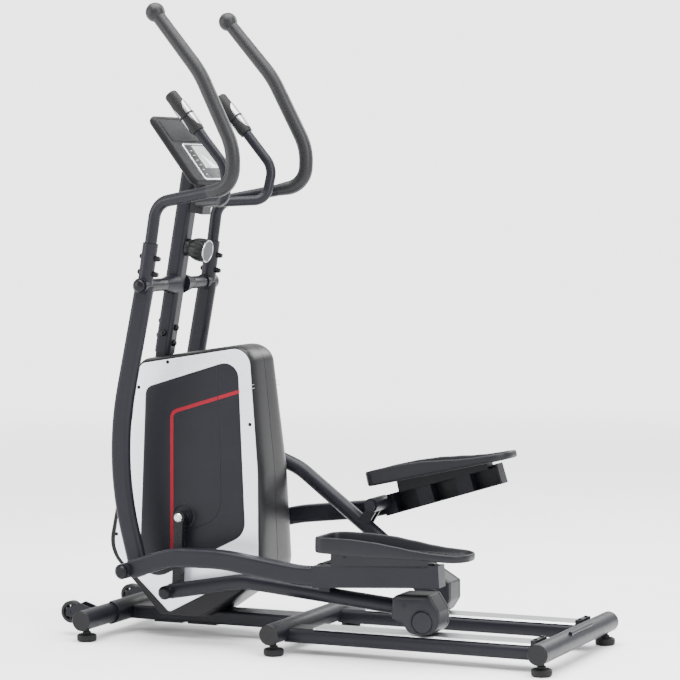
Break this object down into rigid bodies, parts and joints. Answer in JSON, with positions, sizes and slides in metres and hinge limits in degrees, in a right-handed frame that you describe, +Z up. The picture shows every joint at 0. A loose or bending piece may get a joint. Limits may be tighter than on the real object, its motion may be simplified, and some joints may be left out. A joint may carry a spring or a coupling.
{
  "type": "elliptical trainer",
  "caption": "Elliptical cross trainer with swinging handlebars, dished foot pedals on roller links, a housed flywheel drive at the front, a tilted console and a floor frame.",
  "frame": {"origin": "on the floor, at the middle of the machine's footprint", "axes": "+Z up; +X towards the rear, where the rails end; -X towards the console and drive housing; +Y to the right-hand side of a user who faces the console"},
  "size_m": [1.332, 0.534, 1.5719],
  "materials": {
    "frame_paint": "satin powder coat",
    "arm_paint": "satin powder coat",
    "black_plastic": "fine grain",
    "foot_rubber": "matte",
    "track_metal": "brushed",
    "silver_panel": "metallic lacquer",
    "dark_panel": "satin",
    "red_stripe": "satin",
    "zinc_steel": "zinc plated",
    "belt_rubber": "matte",
    "chrome_plate": "polished",
    "lcd": "clear window over a grey-green panel",
    "pulley_plastic": "moulded",
    "knob_plastic": "ribbed",
    "button_plastic": "smooth",
    "wheel_plastic": "moulded",
    "foam_grip": "closed-cell foam",
    "pedal_plastic": "coarse grain",
    "cover_plastic": "fine grain",
    "roller_urethane": "smooth"
  },
  "bodies": {
    "root": {"bar_clamp": "black_plastic", "brackets": "frame_paint", "console_case": "black_plastic", "cover_left": "black_plastic", "cover_right": "black_plastic", "display": "lcd", "display_frame": "silver_panel", "drive_belt": "belt_rubber", "drive_frame": "frame_paint", "fasteners": "zinc_steel", "feet": "foot_rubber", "front_tube": "frame_paint", "handlebar": "frame_paint", "inset_panels": "dark_panel", "knob_base": "black_plastic", "lift_handle": "frame_paint", "main_beam": "frame_paint", "mast": "frame_paint", "mast_stub": "frame_paint", "mid_tube": "frame_paint", "pivot_shaft": "frame_paint", "pulse_sensors": "chrome_plate", "rails": "frame_paint", "rear_tube": "frame_paint", "side_panel_left": "silver_panel", "side_panel_right": "silver_panel", "stripes": "red_stripe", "track_bumpers": "black_plastic", "tracks": "track_metal", "tube_plugs": "black_plastic"},
    "crank": {"crank_axle": "zinc_steel", "crank_arms": "arm_paint", "drive_pulley": "pulley_plastic"},
    "flywheel": {"flywheel": "zinc_steel"},
    "magnet_bracket": {"magnet_bracket": "zinc_steel"},
    "tension_knob": {"tension_knob": "knob_plastic"},
    "mode_button": {"mode_button": "button_plastic"},
    "reset_button": {"reset_button": "button_plastic"},
    "wheel_left": {"wheel_left": "wheel_plastic"},
    "wheel_right": {"wheel_right": "wheel_plastic"},
    "swing_left": {"swing_arm_left": "frame_paint", "handle_left": "frame_paint", "grip_left": "foam_grip", "swing_bolts_left": "zinc_steel"},
    "pedal_arm_left": {"pedal_arm_left": "frame_paint", "pedal_left": "pedal_plastic"},
    "link_left": {"roller_link_left": "frame_paint", "link_pins_left": "zinc_steel", "roller_cover_left": "cover_plastic"},
    "roller_left": {"roller_left": "roller_urethane"},
    "swing_right": {"swing_arm_right": "frame_paint", "handle_right": "frame_paint", "grip_right": "foam_grip", "swing_bolts_right": "zinc_steel"},
    "pedal_arm_right": {"pedal_arm_right": "frame_paint", "pedal_right": "pedal_plastic"},
    "link_right": {"roller_link_right": "frame_paint", "link_pins_right": "zinc_steel", "roller_cover_right": "cover_plastic"},
    "roller_right": {"roller_right": "roller_urethane"}
  },
  "joints": [
    {"name": "crank_spin", "type": "hinge", "parent": "root", "child": "crank", "pos_m": [-0.349, 0, 0.306], "axis": [0, 1, 0], "continuous": true},
    {"name": "flywheel_spin", "type": "hinge", "parent": "root", "child": "flywheel", "pos_m": [-0.292, 0, 0.548], "axis": [0, 1, 0], "continuous": true},
    {"name": "tension_turn", "type": "hinge", "parent": "root", "child": "tension_knob", "pos_m": [-0.36694, 0, 0.96909], "axis": [0.985, 0, -0.1728], "range_deg": [0, 270]},
    {"name": "magnet_swing", "type": "hinge", "parent": "root", "child": "magnet_bracket", "pos_m": [-0.292, 0, 0.68], "axis": [0, 1, 0], "range_deg": [-2.5, 0]},
    {"name": "mode_press", "type": "slide", "parent": "root", "child": "mode_button", "axis": [-0.7997, 0, -0.6004], "range_m": [0, 0.0014], "stiffness_N_per_m": 400, "springref_m": -0.001},
    {"name": "reset_press", "type": "slide", "parent": "root", "child": "reset_button", "axis": [-0.7997, 0, -0.6004], "range_m": [0, 0.0014], "stiffness_N_per_m": 400, "springref_m": -0.001},
    {"name": "wheel_turn_left", "type": "hinge", "parent": "root", "child": "wheel_left", "pos_m": [-0.638, 0, 0.057], "axis": [0, 1, 0], "continuous": true},
    {"name": "wheel_turn_right", "type": "hinge", "parent": "root", "child": "wheel_right", "pos_m": [-0.638, 0, 0.057], "axis": [0, 1, 0], "continuous": true},
    {"name": "swing_turn_left", "type": "hinge", "parent": "root", "child": "swing_left", "pos_m": [-0.417, 0, 0.881], "axis": [0, 1, 0], "range_deg": [-14, 14]},
    {"name": "foot_turn_left", "type": "hinge", "parent": "swing_left", "child": "pedal_arm_left", "pos_m": [-0.44, 0, 0.183], "axis": [0, 1, 0], "range_deg": [-15, 15]},
    {"name": "knee_turn_left", "type": "hinge", "parent": "pedal_arm_left", "child": "link_left", "pos_m": [0.0713, 0, 0.20771], "axis": [0, 1, 0], "range_deg": [-2, 2]},
    {"name": "roller_turn_left", "type": "hinge", "parent": "link_left", "child": "roller_left", "pos_m": [0.33108, 0, 0.0983], "axis": [0, 1, 0], "continuous": true},
    {"name": "swing_turn_right", "type": "hinge", "parent": "root", "child": "swing_right", "pos_m": [-0.417, 0, 0.881], "axis": [0, 1, 0], "range_deg": [-14, 14]},
    {"name": "foot_turn_right", "type": "hinge", "parent": "swing_right", "child": "pedal_arm_right", "pos_m": [-0.42534, 0, 0.18267], "axis": [0, 1, 0], "range_deg": [-15, 15]},
    {"name": "knee_turn_right", "type": "hinge", "parent": "pedal_arm_right", "child": "link_right", "pos_m": [0.06533, 0, 0.32856], "axis": [0, 1, 0], "range_deg": [-2, 2]},
    {"name": "roller_turn_right", "type": "hinge", "parent": "link_right", "child": "roller_right", "pos_m": [0.22793, 0, 0.0983], "axis": [0, 1, 0], "continuous": true}
  ],
  "couplings": [
    {"joint": "flywheel_spin", "follows": "crank_spin", "ratio": 5},
    {"joint": "magnet_swing", "follows": "tension_turn", "ratio": -0.008},
    {"joint": "swing_turn_right", "follows": "swing_turn_left", "ratio": -1},
    {"joint": "foot_turn_left", "follows": "swing_turn_left", "ratio": -1},
    {"joint": "foot_turn_right", "follows": "swing_turn_left", "ratio": 1},
    {"joint": "knee_turn_left", "follows": "swing_turn_left", "ratio": 0.08855},
    {"joint": "knee_turn_right", "follows": "swing_turn_left", "ratio": -0.05128}
  ]
}
